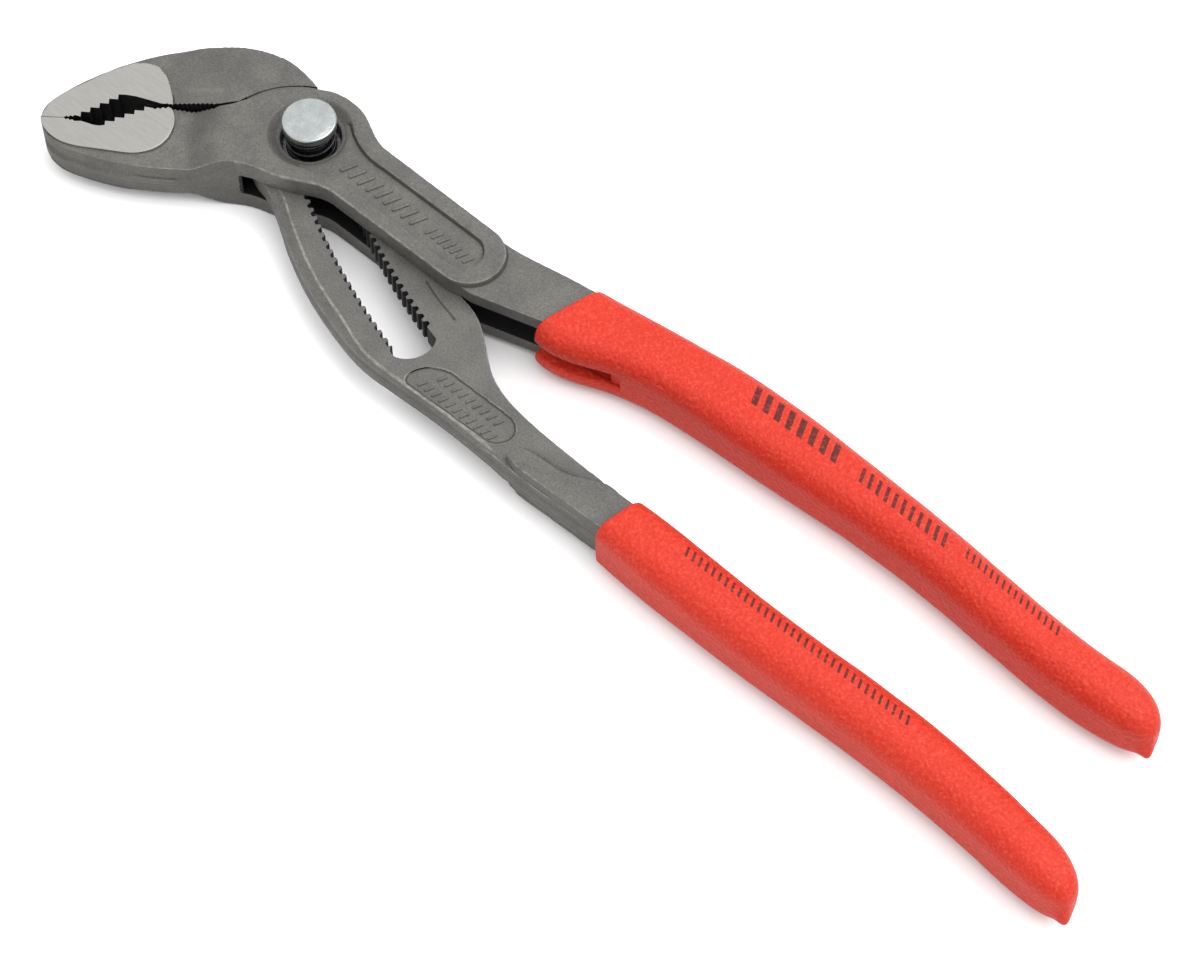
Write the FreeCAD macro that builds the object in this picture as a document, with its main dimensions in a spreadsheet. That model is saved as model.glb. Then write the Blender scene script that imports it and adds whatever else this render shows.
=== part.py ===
import FreeCAD, Part
import Sketcher

import math
import os

# Tongue and groove pliers, 250 mm long, lying flat with the jaws closed.
# Millimetres. The origin is on the joint bolt's axis at the height of the
# underside of the joint box, +X runs from the jaws to the handle ends and +Z is up.

V = FreeCAD.Vector
os.makedirs("parts", exist_ok=True)
doc = FreeCAD.newDocument("TongueAndGroovePliers")

# ---------------------------------------------------------------- driving sizes
SIZES = {
    "mid_height": 7.0,          # mid-plane of both levers above the rest face
    "box_thickness": 14.0,      # over both cheeks of the outer lever
    "tine_thickness": 11.6,     # outer lever behind the raised cheeks
    "box_gap": 5.5,             # sawn gap that the inner lever passes through
    "tang_thickness": 9.6,      # steel inside the grips
    "web_thickness": 5.2,       # inner lever where it passes through the box
    "shank_thickness": 10.0,    # inner lever in front of its grip
    "jaw_thickness": 7.9,       # forged jaw faces
    "plateau_thickness": 8.8,   # ground jaw faces
    "bore_radius": 5.85,        # cheek bores that the bolt turns in
    "dish_radius": 8.3,         # sloped dish round the button
    "dish_depth": 1.3,
    "panel_depth": 1.0,         # sunk panel along each cheek
    "panel_radius": 3.9,
    "oval_depth": 0.4,          # sunk oval on the inner lever
    "slot_radius": 157.0,       # the toothed slot is an arc of this radius
    "slot_half_width": 3.75,    # to the tips of the slot's teeth
    "slot_tooth_depth": 0.85,
    "slot_pitch": 2.0,
    "slot_length": 48.0,        # toothed length along the arc, from the bolt's rest place
    "flange_radius": 5.78,
    "neck_radius": 3.5,
    "spigot_radius": 2.4,
    "button_radius": 5.2,
    "button_thickness": 1.9,
    "button_top": 18.0,
    "skirt_radius": 3.9,        # the button's sleeve over the top of the neck
    "skirt_length": 3.3,
    "spring_radius": 4.55,      # mean radius of the coil
    "spring_wire": 0.7,
    "spring_turns": 3.0,
    "seat_radius": 5.6,
    "seat_thickness": 0.55,
    "grip_thickness": 13.6,
    "grip_gap": 3.9,            # between the two coated tines
    "outer_grip_front": 65.0,   # where each grip begins and how long it is, along X
    "outer_grip_length": 130.0,
    "inner_grip_front": 98.0,
    "inner_grip_length": 103.0,
}
sheet = doc.addObject("Spreadsheet::Sheet", "Sizes")
for row, (alias, value) in enumerate(SIZES.items(), start=1):
    sheet.set("A%d" % row, alias.replace("_", " "))
    sheet.set("B%d" % row, str(value))
    sheet.setAlias("B%d" % row, alias)
doc.recompute()


def size(alias):
    """The value that the sheet holds under an alias."""
    return float(sheet.get(alias))


MID = size("mid_height")
SLOT_HEADING = -36.5            # direction of the slot at the bolt, degrees from +X
JAW_GAP = 0.12                  # between the closed jaws
FAR = 60.0                      # longer than anything it has to cut through


def polar(radius, degrees, centre=(0.0, 0.0)):
    """A plan point at a radius and a direction from a centre."""
    angle = math.radians(degrees)
    return (centre[0] + radius * math.cos(angle), centre[1] + radius * math.sin(angle))


# The slot's centre of curvature, which the inner lever swings about when it is reset.
SLOT_CENTRE = polar(size("slot_radius"), SLOT_HEADING + 90.0)


def slot_point(run, offset):
    """A plan point at a run along the slot's centre line, offset to its lower side."""
    turn = SLOT_HEADING - 90.0 + math.degrees(run / size("slot_radius"))
    return polar(size("slot_radius") + offset, turn, SLOT_CENTRE)


# ------------------------------------------------------------- sketch and feature helpers
def new_body(label):
    body = doc.addObject("PartDesign::Body", label)
    body.Label = label
    return body


def new_sketch(body, name, role="XY_Plane", height=None, turn=None):
    """A sketch on one of the body's own origin planes, raised by a sheet expression."""
    sketch = body.newObject("Sketcher::SketchObject", name)
    plane = [o for o in body.Origin.OriginFeatures if o.Role == role][0]
    sketch.AttachmentSupport = [(plane, "")]
    sketch.MapMode = "FlatFace"
    if turn is not None:
        spin = FreeCAD.Rotation(V(0, 1, 0), turn)
        sketch.AttachmentOffset = FreeCAD.Placement(V(0, 0, 0), spin)
    if height is not None:
        sketch.setExpression("AttachmentOffset.Base.z", height)
    return sketch


def draw(sketch, *pieces):
    """Draws a closed outline. A piece is ("line" or "curve", points) and joins the last."""
    for index, (kind, points) in enumerate(pieces):
        end = pieces[(index + 1) % len(pieces)][1][0]
        path = [V(x, y, 0) for x, y in points] + [V(end[0], end[1], 0)]
        if kind == "curve":
            spline = Part.BSplineCurve()
            spline.interpolate(path)
            sketch.addGeometry(spline)
        else:
            for start, stop in zip(path, path[1:]):
                sketch.addGeometry(Part.LineSegment(start, stop))


def draw_circle(sketch, alias):
    """A circle about the origin whose radius follows the sheet."""
    sketch.addGeometry(Part.Circle(V(0, 0, 0), V(0, 0, 1), size(alias)))
    sketch.addConstraint(Sketcher.Constraint("Coincident", 0, 3, -1, 1))
    index = sketch.addConstraint(Sketcher.Constraint("Radius", 0, size(alias)))
    sketch.setExpression("Constraints[%d]" % index, "Sizes." + alias)


def pad(body, sketch, name, thickness):
    """Extrudes a sketch by the same amount above and below its plane."""
    feature = body.newObject("PartDesign::Pad", name)
    feature.Profile = sketch
    feature.Midplane = True
    feature.setExpression("Length", thickness)
    feature.Refine = False
    return feature


def pocket(body, sketch, name, depth, midplane=False, upward=False):
    """Cuts down from the sketch, or both ways from it; it has to remove material."""
    doc.recompute()
    before = body.Tip.Shape.Volume
    feature = body.newObject("PartDesign::Pocket", name)
    feature.Profile = sketch
    feature.Midplane = midplane
    feature.Reversed = upward
    feature.setExpression("Length", depth)
    feature.Refine = False
    doc.recompute()
    if feature.Shape.Volume >= before - 1e-3:
        raise RuntimeError(name + " removes nothing")
    return feature


def revolve_about_bolt(body, name, outline, kind="PartDesign::Revolution", angle=360.0):
    """Turns an outline of (radius, height) points, drawn on the -X side, about the bolt."""
    sketch = new_sketch(body, name + "_sketch", "XZ_Plane")
    draw(sketch, ("line", [(-radius, height) for radius, height in outline]))
    feature = body.newObject(kind, name)
    feature.Profile = sketch
    feature.ReferenceAxis = (sketch, ["V_Axis"])
    feature.Angle = angle
    feature.Midplane = True
    feature.Refine = False
    return feature


# ------------------------------------------------------------------- outlines in plan
# The seam is the arc along which the upper jaw's head meets the cheeks.
SEAM_CENTRE = (1.2, -6.7)
SEAM_RADIUS = 17.0
SEAM_TOP = polar(SEAM_RADIUS, 111.0, SEAM_CENTRE)
SEAM_FOOT = polar(18.9, 197.4)
NOSE = (-44.4, -27.2)
MOUTH_TIP = (-40.7, -24.6)
MOUTH_BACK = (-26.0, -9.9)


def seam_arc(gap):
    """The seam between its foot and its top, moved out from the cheeks by a gap."""
    return [polar(SEAM_RADIUS + gap, turn, SEAM_CENTRE) for turn in (166, 150, 135, 122)]


def fine_teeth(start, stop, count, depth, gap=0.0):
    """A straight row of small triangular teeth; the gap moves it to the row's left."""
    run = (stop[0] - start[0], stop[1] - start[1])
    length = math.hypot(*run)
    side = (-run[1] / length, run[0] / length)
    row = []
    for tooth in range(count):
        for part, lift in ((0.0, 0.0), (0.5, depth)):
            along = (tooth + part) / count
            off = lift + gap
            row.append((start[0] + run[0] * along + side[0] * off,
                        start[1] + run[1] * along + side[1] * off))
    return row


def coarse_teeth(tip, pitch, root, count):
    """A row of saw teeth: each goes from its tip to its root, and on to the next tip."""
    row = []
    for tooth in range(count):
        x = tip[0] + pitch[0] * tooth
        y = tip[1] + pitch[1] * tooth
        row += [(x, y), (x + root[0], y + root[1])]
    return row


# Lower jaw's biting edge, from the nose to the foot of the seam.
lower_mouth = ([NOSE] + fine_teeth(MOUTH_TIP, (-38.4, -23.6), 3, -0.3)
               + [(-37.6, -23.2), (-35.2, -22.5), (-34.1, -21.9)]
               + coarse_teeth((-33.4, -21.2), (0.92, 1.78), (-0.6, 0.8), 5)
               + fine_teeth((-28.9, -12.6), MOUTH_BACK, 4, -0.35))
lower_seam = fine_teeth(MOUTH_BACK, SEAM_FOOT, 10, 0.3, -0.55)
# Upper jaw's biting edge, the same way round.
upper_mouth = ([(NOSE[0] - 0.05, NOSE[1] + JAW_GAP)]
               + fine_teeth(MOUTH_TIP, (-38.9, -22.9), 3, 0.3, JAW_GAP)
               + coarse_teeth((-38.4, -22.5), (0.73, 1.86), (-0.7, 0.95), 5)
               + [(-35.0, -13.3), (-33.2, -12.4), (-30.6, -11.5), (-28.4, -10.8)]
               + fine_teeth((-27.6, -10.6), MOUTH_BACK, 2, 0.2, JAW_GAP))
upper_seam = fine_teeth(MOUTH_BACK, SEAM_FOOT, 10, 0.3, 0.05)
# Ground faces of the two jaws.
ground_edge = [(-25.6, -10.6), (-23.5, -12.4), (-22.0, -15.5), (-22.2, -19.3),
               (-24.3, -22.4), (-29.2, -25.3), (-34.0, -27.9), (-38.5, -29.2),
               (-42.0, -28.5)]
ground_crown = [(-45.3, -23.6), (-44.9, -20.6), (-43.2, -16.0), (-41.4, -11.0),
                (-38.8, -6.6), (-36.6, -5.0), (-34.5, -4.4), (-31.5, -5.4), (-28.4, -7.6)]
# Long cheek: its tongue and its sunk panel end in arcs about nearly one centre.
TONGUE_CENTRE = (41.2, -3.3)
TONGUE_RADIUS = 6.8
PANEL_CENTRE = (39.8, -3.5)


def round_end(radius, centre):
    """Half a turn about a centre, clockwise, without its last point."""
    return [polar(radius, turn, centre) for turn in (86, 56, 26, -4, -34, -64)]


cheek_top = [("curve", [SEAM_TOP, (-2.0, 10.3), (1.5, 10.5), (5.0, 9.8), (8.5, 7.9),
                        (11.5, 6.3)]),
             ("line", [(14.5, 5.7)]),
             ("curve", round_end(TONGUE_RADIUS, TONGUE_CENTRE)),
             ("line", [polar(TONGUE_RADIUS, -94, TONGUE_CENTRE)]),
             ("curve", [(13.0, -8.2), (9.0, -8.6), (5.0, -10.3), (1.0, -11.8),
                        (-3.5, -12.7), (-6.6, -13.9), (-9.2, -15.5)])]
lower_back = ("curve", [(-9.8, -16.0), (-14.5, -19.6), (-20.3, -23.4), (-27.6, -27.0),
                        (-33.5, -29.0), (-38.2, -29.8), (-42.0, -28.9)])
crown = ("curve", [polar(SEAM_RADIUS + JAW_GAP, 114.0, SEAM_CENTRE), (-9.8, 10.1),
                   (-14.5, 10.6), (-20.3, 10.0), (-25.4, 8.2), (-31.2, 3.9), (-36.4, -2.0),
                   (-40.5, -8.4), (-43.2, -14.2), (-45.1, -20.0), (-45.6, -23.9)])


def blend_to_jaw(body, radii):
    """The full joint thickness falls away, through four radii, to the thinner jaws."""
    face = size("jaw_thickness") / 2
    full = size("box_thickness") / 2
    for name, side in (("near_blend", 1), ("rear_blend", -1)):
        outline = [(radii[0], MID + side * full), (radii[1], MID + side * (full - 0.8)),
                   (radii[2], MID + side * (face + 0.35)), (radii[3], MID + side * face),
                   (FAR, MID + side * face), (FAR, MID + side * (full + 2)),
                   (radii[0], MID + side * (full + 2))]
        revolve_about_bolt(body, name, outline, "PartDesign::Groove", 190.0)


# ------------------------------------------------------------------------ outer lever
outer = new_body("outer_lever")
sketch = new_sketch(outer, "outer_plan", height="Sizes.mid_height")
draw(sketch, *cheek_top, lower_back, ("line", lower_mouth + lower_seam),
     ("curve", [SEAM_FOOT] + seam_arc(0.0)))
pad(outer, sketch, "cheeks_and_jaw", "Sizes.box_thickness")
blend_to_jaw(outer, (18.0, 19.3, 21.6, 24.0))

sketch = new_sketch(outer, "lower_ground_face", height="Sizes.mid_height")
draw(sketch, ("curve", ground_edge[:-1] + [(-41.6, -28.8)]), ("line", [(-43.9, -27.7)] + lower_mouth))
pad(outer, sketch, "lower_ground_pad", "Sizes.plateau_thickness")

# The two tines run back from the cheeks to the crotch, and on as one tang.
OUTER_TANG = {"top": [(62.0, 4.6), (80.0, 6.0), (98.0, 6.9), (116.0, 6.0), (137.0, 3.3),
                      (150.0, 1.5), (165.0, -0.9), (180.0, -2.3), (187.0, -3.0)],
              "end": [(190.0, -4.2), (190.2, -7.0), (188.0, -8.0)],
              "bottom": [(181.0, -9.3), (165.0, -8.1), (150.0, -5.8), (137.0, -4.1),
                         (116.0, -3.7), (98.0, -3.4), (80.0, -4.4), (62.0, -6.1)]}
TINE_START = ("line", [(36.0, -6.0), (36.0, 3.4)])
TINE_TOP = ("curve", [(40.0, 3.5), (46.0, 3.1), (54.0, 3.8)])
TINE_BACK = [(62.0, 4.6), (68.0, 5.1), (68.0, -5.5), (62.0, -6.1)]
TINE_BOTTOM = [(58.5, -6.9), (46.4, -9.6), (40.0, -9.6)]
sketch = new_sketch(outer, "tines", height="Sizes.mid_height")
draw(sketch, TINE_START, TINE_TOP, ("curve", OUTER_TANG["top"]), ("line", OUTER_TANG["end"]),
     ("curve", OUTER_TANG["bottom"]), ("line", TINE_BOTTOM))
pad(outer, sketch, "tines_and_tang", "Sizes.tang_thickness")
sketch = new_sketch(outer, "tine_faces", height="Sizes.mid_height")
draw(sketch, TINE_START, TINE_TOP, ("line", TINE_BACK + TINE_BOTTOM))
pad(outer, sketch, "tine_cheeks", "Sizes.tine_thickness")

# The gap for the inner lever: its front wall is an arc about the bolt.
BOX_WALL = 14.8
CROTCH = 79.0
wall = [polar(BOX_WALL, turn) for turn in (250.4, 238, 225, 211)]
sketch = new_sketch(outer, "box_gap_plan", height="Sizes.mid_height")
draw(sketch, ("curve", wall), ("line", [polar(BOX_WALL, 197.4), polar(19.0, 197.4),
                                        (-25.0, 5.0), (-10.0, 20.0), (CROTCH - 3, 20.0)]),
     ("curve", [(CROTCH - 3, 12.0), (CROTCH, 1.0)]),
     ("line", [(CROTCH - 3, -10.0), (CROTCH - 3, -25.0), polar(25.0, 250.4)]))
pocket(outer, sketch, "box_gap", "Sizes.box_gap", midplane=True)

sketch = new_sketch(outer, "bolt_bore_circle")
draw_circle(sketch, "bore_radius")
pocket(outer, sketch, "bolt_bore", "Sizes.box_thickness + 10", upward=True)


def panel_outline(sketch):
    """The sunk panel: a long pocket that runs out of the dish to a round end."""
    radius = size("panel_radius")
    draw(sketch, ("line", [(0.0, 6.0)]),
         ("curve", [(4.6, 6.4), (8.0, 4.0), (11.5, 2.6)]),
         ("line", [(16.0, 2.1)]),
         ("curve", round_end(radius, PANEL_CENTRE)),
         ("line", [polar(radius, -94, PANEL_CENTRE)]),
         ("curve", [(14.0, -5.2), (9.0, -5.6), (5.0, -7.0)]),
         ("line", [(0.0, -6.0)]))


# Both cheeks carry the same panel and dish.
for face, height, upward in (("near", "Sizes.mid_height + Sizes.box_thickness / 2", False),
                             ("rear", "Sizes.mid_height - Sizes.box_thickness / 2", True)):
    sketch = new_sketch(outer, face + "_panel_plan", height=height)
    panel_outline(sketch)
    pocket(outer, sketch, face + "_panel", "Sizes.panel_depth", upward=upward)
    side = -1 if upward else 1
    top = MID + side * size("box_thickness") / 2
    low = top - side * size("dish_depth")
    floor = size("bore_radius") + 0.9
    revolve_about_bolt(outer, face + "_dish",
                       [(1.0, low), (floor, low), (size("dish_radius"), top),
                        (size("dish_radius"), top + side), (1.0, top + side)],
                       "PartDesign::Groove")

# ------------------------------------------------------------------------ inner lever
inner_lever = new_body("inner_lever")
sketch = new_sketch(inner_lever, "head_plan", height="Sizes.mid_height")
draw(sketch, ("curve", seam_arc(JAW_GAP)), crown, ("line", upper_mouth + upper_seam),
     ("line", [(SEAM_FOOT[0] - 0.1, SEAM_FOOT[1] + 0.3)]))
pad(inner_lever, sketch, "head", "Sizes.box_thickness")
blend_to_jaw(inner_lever, (17.6, 21.0, 28.5, 34.0))
sketch = new_sketch(inner_lever, "upper_ground_face", height="Sizes.mid_height")
draw(sketch, ("curve", ground_crown), ("line", [(-26.2, -9.4)] + upper_mouth[::-1]))
pad(inner_lever, sketch, "upper_ground_pad", "Sizes.plateau_thickness")

# The web passes through the box and carries the slot; it grows into the shank.
INNER_TANG = {"top": [(98.0, -26.7), (120.0, -28.5), (140.0, -30.1), (160.0, -31.2),
                      (180.0, -33.8), (190.0, -36.0)],
              "end": [(197.0, -38.6), (197.6, -40.6), (195.0, -41.6)],
              "bottom": [(190.0, -42.2), (180.0, -40.6), (160.0, -38.6), (140.0, -37.7),
                         (120.0, -36.6), (98.0, -34.3)]}
LEVER_EDGE = 12.2               # radius of the web's corner inside the box
web_hump = [(44.5, -9.6), (47.2, -10.3), (49.8, -11.5), (53.0, -13.9), (56.0, -16.6),
            (58.8, -19.0), (63.0, -21.2), (69.0, -22.8), (84.0, -24.6)]
web_belly = [(84.0, -34.0), (72.0, -33.3), (60.0, -32.1), (46.0, -31.6), (38.0, -31.2),
             (30.0, -29.1), (19.8, -25.1), (9.7, -19.3), (2.8, -14.5)]
sketch = new_sketch(inner_lever, "web_plan", height="Sizes.mid_height")
draw(sketch, ("line", [(-22.0, 3.0), (-14.0, 9.0), (-6.0, 8.9), (0.0, 7.4)]),
     ("curve", web_hump), ("line", [(96.0, -26.4), (96.0, -34.2)]),
     ("curve", web_belly), ("line", [polar(LEVER_EDGE, 261)]),
     ("curve", [polar(LEVER_EDGE, turn) for turn in (259, 245, 230, 213)]),
     ("line", [polar(LEVER_EDGE, 195.5), polar(18.4, 196.0)]))
pad(inner_lever, sketch, "web", "Sizes.web_thickness")
sketch = new_sketch(inner_lever, "shank_plan", height="Sizes.mid_height")
draw(sketch, ("curve", [(73.0, -32.4), (73.1, -30.4), (76.0, -29.3), (84.3, -28.9),
                        (88.0, -27.4)]),
     ("line", [(91.0, -26.2), (97.5, -26.6), (97.5, -34.3)]),
     ("line", [(76.0, -33.5)]))
pad(inner_lever, sketch, "shank", "Sizes.shank_thickness")
sketch = new_sketch(inner_lever, "inner_tang_plan", height="Sizes.mid_height")
draw(sketch, ("line", [(90.0, -26.6)]), ("curve", INNER_TANG["top"]),
     ("line", INNER_TANG["end"]), ("curve", INNER_TANG["bottom"]),
     ("line", [(90.0, -33.9)]))
pad(inner_lever, sketch, "inner_tang", "Sizes.tang_thickness")

# The slot has a row of trapezoid teeth on each flank, all through the web.
SLOT_START = -5.6
half = size("slot_half_width")
deep = half + size("slot_tooth_depth")
pitch = size("slot_pitch")
teeth = int(size("slot_length") / pitch)
flanks = {}
for side in (1, -1):
    row = []
    for tooth in range(teeth):
        start = tooth * pitch
        for run, offset in ((0.0, half), (0.35, half), (0.75, deep), (1.45, deep),
                            (1.75, half)):
            row.append(slot_point(start + run, side * offset))
    flanks[side] = row
slot_end = teeth * pitch
sketch = new_sketch(inner_lever, "slot_plan", height="Sizes.mid_height")
draw(sketch, ("line", [slot_point(SLOT_START + 2.0, half)] + flanks[1]),
     ("curve", [slot_point(slot_end, deep - 0.3), slot_point(slot_end + 1.6, deep + 0.2),
                slot_point(slot_end + 3.6, 3.2), slot_point(slot_end + 4.6, 0.4),
                slot_point(slot_end + 4.2, -2.2)]),
     ("line", [slot_point(slot_end + 3.0, -half)] + flanks[-1][::-1]),
     ("curve", [slot_point(SLOT_START + 2.0, -half), slot_point(SLOT_START, 0.0)]))
pocket(inner_lever, sketch, "toothed_slot", "Sizes.web_thickness + 4", midplane=True)

# A shallow sunk oval on the near face, and on the rear face below it.
for face, height, upward in (("near", "Sizes.mid_height + Sizes.web_thickness / 2", False),
                             ("rear", "Sizes.mid_height - Sizes.web_thickness / 2", True)):
    sketch = new_sketch(inner_lever, face + "_oval_plan", height=height)
    draw(sketch, ("curve", [(53.0, -23.6), (50.2, -24.6), (47.6, -27.2), (47.2, -29.6)]),
         ("line", [(49.0, -30.6)]),
         ("curve", [(67.6, -31.2), (70.0, -29.6), (70.6, -27.3), (69.4, -25.4)]),
         ("line", [(67.0, -24.5)]))
    pocket(inner_lever, sketch, face + "_oval", "Sizes.oval_depth", upward=upward)


# ------------------------------------------------------------------------- bolt group
FLANGE_LOW = 0.5
BAND_LOW = 4.15
BAND_HIGH = 7.3
BAND_RADIUS = 4.9
NECK_TOP = size("button_top") - size("button_thickness")
SPIGOT_TOP = NECK_TOP + 1.1
bolt = new_body("joint_bolt")
flange = size("flange_radius")
revolve_about_bolt(bolt, "bolt_turning",
                   [(0.0, FLANGE_LOW), (flange - 0.6, FLANGE_LOW), (flange, FLANGE_LOW + 0.6),
                    (flange, BAND_LOW), (BAND_RADIUS, BAND_LOW), (BAND_RADIUS, BAND_HIGH - 0.5),
                    (BAND_RADIUS - 0.5, BAND_HIGH), (size("neck_radius"), BAND_HIGH),
                    (size("neck_radius"), NECK_TOP), (size("spigot_radius"), NECK_TOP),
                    (size("spigot_radius"), SPIGOT_TOP), (0.0, SPIGOT_TOP)])
# The band is milled flat on two sides and carries two rows of rack teeth.
band_tip = half - 0.12
band_root = band_tip - 0.7
for side, name in ((1, "lower_rack"), (-1, "upper_rack")):
    row = []
    for tooth in range(-3, 3):
        for run, offset in ((0.1, band_root), (0.4, band_root), (0.8, band_tip),
                            (1.45, band_tip), (1.85, band_root)):
            row.append(slot_point(tooth * pitch + run, side * offset))
    sketch = new_sketch(bolt, name + "_plan", height="%.2f mm" % BAND_LOW)
    draw(sketch, ("line", row + [slot_point(6.2, side * 9.0), slot_point(-6.2, side * 9.0)]))
    pocket(bolt, sketch, name, "%.2f mm" % (BAND_HIGH - BAND_LOW), upward=True)

button = new_body("push_button")
rim = size("button_radius")
head_top = size("button_top")
skirt = size("skirt_radius")
SKIRT_LOW = NECK_TOP - size("skirt_length")
revolve_about_bolt(button, "button_turning",
                   [(0.0, SPIGOT_TOP), (size("spigot_radius"), SPIGOT_TOP),
                    (size("spigot_radius"), NECK_TOP), (size("neck_radius"), NECK_TOP),
                    (size("neck_radius"), SKIRT_LOW), (skirt, SKIRT_LOW),
                    (skirt, NECK_TOP), (rim - 0.35, NECK_TOP),
                    (rim, NECK_TOP + 0.35), (rim, head_top - 0.4), (rim - 0.4, head_top),
                    (3.6, head_top), (0.0, head_top - 0.1)])

SEAT_LOW = MID + size("web_thickness") / 2 + 0.12
SEAT_TOP = SEAT_LOW + size("seat_thickness")
seat = new_body("spring_seat")
revolve_about_bolt(seat, "seat_stamping",
                   [(skirt + 0.08, SEAT_LOW), (size("seat_radius"), SEAT_LOW),
                    (size("seat_radius"), SEAT_TOP), (skirt + 0.08, SEAT_TOP)])


def coil_spring(low, high):
    """A compression spring of round wire, from the seat to under the button's head."""
    wire = size("spring_wire") / 2
    rise = high - low - 2 * wire - 0.06
    helix = Part.makeLongHelix(rise / size("spring_turns"), rise, size("spring_radius"))
    start = V(size("spring_radius"), 0, 0)
    section = Part.Wire(Part.makeCircle(wire, start, V(0, 1, 0)))
    coil = Part.Wire(helix).makePipeShell([section], True, True)
    coil.translate(V(0, 0, low + wire + 0.03))
    return coil


spring = doc.addObject("Part::Feature", "button_spring")
spring.Label = "button_spring"
spring.Shape = coil_spring(SEAT_TOP, NECK_TOP)


# ------------------------------------------------------------------------------ grips
def rounded_section(body, number, station):
    """One cross-section of a grip: a rectangle with large round corners."""
    share, centre, width, depth, corner = station
    label = body.Label
    place = "Sizes.%s_front + %.4f * Sizes.%s_length" % (label, share, label)
    sketch = new_sketch(body, "%s_section_%d" % (label, number), "YZ_Plane", height=place)
    left, right = centre - width / 2, centre + width / 2
    low, high = MID - depth / 2, MID + depth / 2
    bend = corner * (1 - math.sqrt(0.5))
    rounds = [((left + corner, low), (right - corner, low), (right - bend, low + bend),
               (right, low + corner)),
              ((right, low + corner), (right, high - corner), (right - bend, high - bend),
               (right - corner, high)),
              ((right - corner, high), (left + corner, high), (left + bend, high - bend),
               (left, high - corner)),
              ((left, high - corner), (left, low + corner), (left + bend, low + bend),
               (left + corner, low))]
    for start, turn, middle, stop in rounds:
        sketch.addGeometry(Part.LineSegment(V(*start, 0), V(*turn, 0)))
        sketch.addGeometry(Part.Arc(V(*turn, 0), V(*middle, 0), V(*stop, 0)))
    return sketch


def dipped_grip(label, stations):
    """A grip is lofted through its stations; the lever's tang is cut out of it later."""
    body = new_body(label)
    sections = [rounded_section(body, number, station)
                for number, station in enumerate(stations, start=1)]
    loft = body.newObject("PartDesign::AdditiveLoft", label + "_loft")
    loft.Profile = sections[0]
    loft.Sections = sections[1:]
    loft.Refine = False
    doc.recompute()
    return body


# A station is its share of the grip's length, centre, width, thickness and corner radius.
full = size("grip_thickness")
outer_grip = dipped_grip("outer_grip",
                         [(-0.06, -0.9, 13.2, full, 3.4), (0.08, 0.3, 13.3, full, 3.8),
                          (0.26, 1.8, 13.3, full, 4.2), (0.40, 1.1, 12.6, full, 4.4),
                          (0.56, -0.3, 10.9, full, 4.4), (0.66, -1.9, 10.6, full, 4.4),
                          (0.78, -4.3, 10.3, full, 4.3), (0.885, -5.7, 10.2, full, 4.2),
                          (0.95, -6.0, 9.2, 12.6, 3.8), (0.985, -6.6, 6.4, 9.6, 2.9),
                          (1.0, -7.1, 2.2, 4.6, 1.0)])
inner_grip = dipped_grip("inner_grip",
                         [(-0.05, -30.3, 10.2, 12.9, 3.0), (0.0, -30.8, 10.6, full, 3.4),
                          (0.2, -32.6, 11.5, full, 4.2), (0.4, -33.95, 11.2, full, 4.4),
                          (0.6, -34.9, 11.0, full, 4.4), (0.78, -37.1, 10.5, full, 4.3),
                          (0.89, -39.1, 10.0, full, 4.2), (0.95, -40.3, 8.6, 12.4, 3.6),
                          (0.985, -41.2, 5.8, 9.4, 2.6), (1.0, -41.7, 2.0, 4.4, 0.9)])

# The dipping line is slanted: the coating starts further back on the inner edges.
sketch = new_sketch(outer_grip, "outer_dip_line", height="Sizes.mid_height")
draw(sketch, ("line", [(50.0, -14.0), (60.6, -14.0), (60.6, -7.4), (64.6, 4.6), (66.0, 14.0),
                       (50.0, 14.0)]))
pocket(outer_grip, sketch, "outer_front_cut", "Sizes.grip_thickness + 4", midplane=True)
sketch = new_sketch(outer_grip, "coated_fork", height="Sizes.mid_height")
draw(sketch, ("line", [(50.0, -20.0), (50.0, 20.0), (CROTCH - 1.2, 20.0),
                       (CROTCH - 1.2, -20.0)]))
pocket(outer_grip, sketch, "coated_fork_gap", "Sizes.grip_gap", midplane=True)
sketch = new_sketch(outer_grip, "outer_tang_hole", height="Sizes.mid_height")
draw(sketch, ("line", [(54.0, 4.0)]), ("curve", OUTER_TANG["top"]),
     ("line", OUTER_TANG["end"]), ("curve", OUTER_TANG["bottom"]), ("line", [(54.0, -6.4)]))
pocket(outer_grip, sketch, "outer_tang_bore", "Sizes.tang_thickness", midplane=True)
sketch = new_sketch(outer_grip, "tine_hole", height="Sizes.mid_height")
draw(sketch, ("line", [(54.0, 4.0)] + TINE_BACK + [(54.0, -7.9)]))
pocket(outer_grip, sketch, "tine_bore", "Sizes.tine_thickness", midplane=True)

sketch = new_sketch(inner_grip, "inner_dip_line", height="Sizes.mid_height")
draw(sketch, ("line", [(85.0, -45.0), (96.0, -45.0), (95.6, -35.0), (98.0, -26.0),
                       (98.4, -15.0), (85.0, -15.0)]))
pocket(inner_grip, sketch, "inner_front_cut", "Sizes.grip_thickness + 4", midplane=True)
sketch = new_sketch(inner_grip, "inner_tang_hole", height="Sizes.mid_height")
draw(sketch, ("line", [(90.0, -26.6)]), ("curve", INNER_TANG["top"]),
     ("line", INNER_TANG["end"]), ("curve", INNER_TANG["bottom"]), ("line", [(90.0, -33.9)]))
pocket(inner_grip, sketch, "inner_tang_bore", "Sizes.tang_thickness", midplane=True)
sketch = new_sketch(inner_grip, "shank_hole", height="Sizes.mid_height")
draw(sketch, ("line", [(90.0, -26.2), (97.5, -26.6), (97.5, -34.3), (90.0, -34.3)]))
pocket(inner_grip, sketch, "shank_bore", "Sizes.shank_thickness", midplane=True)

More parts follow.
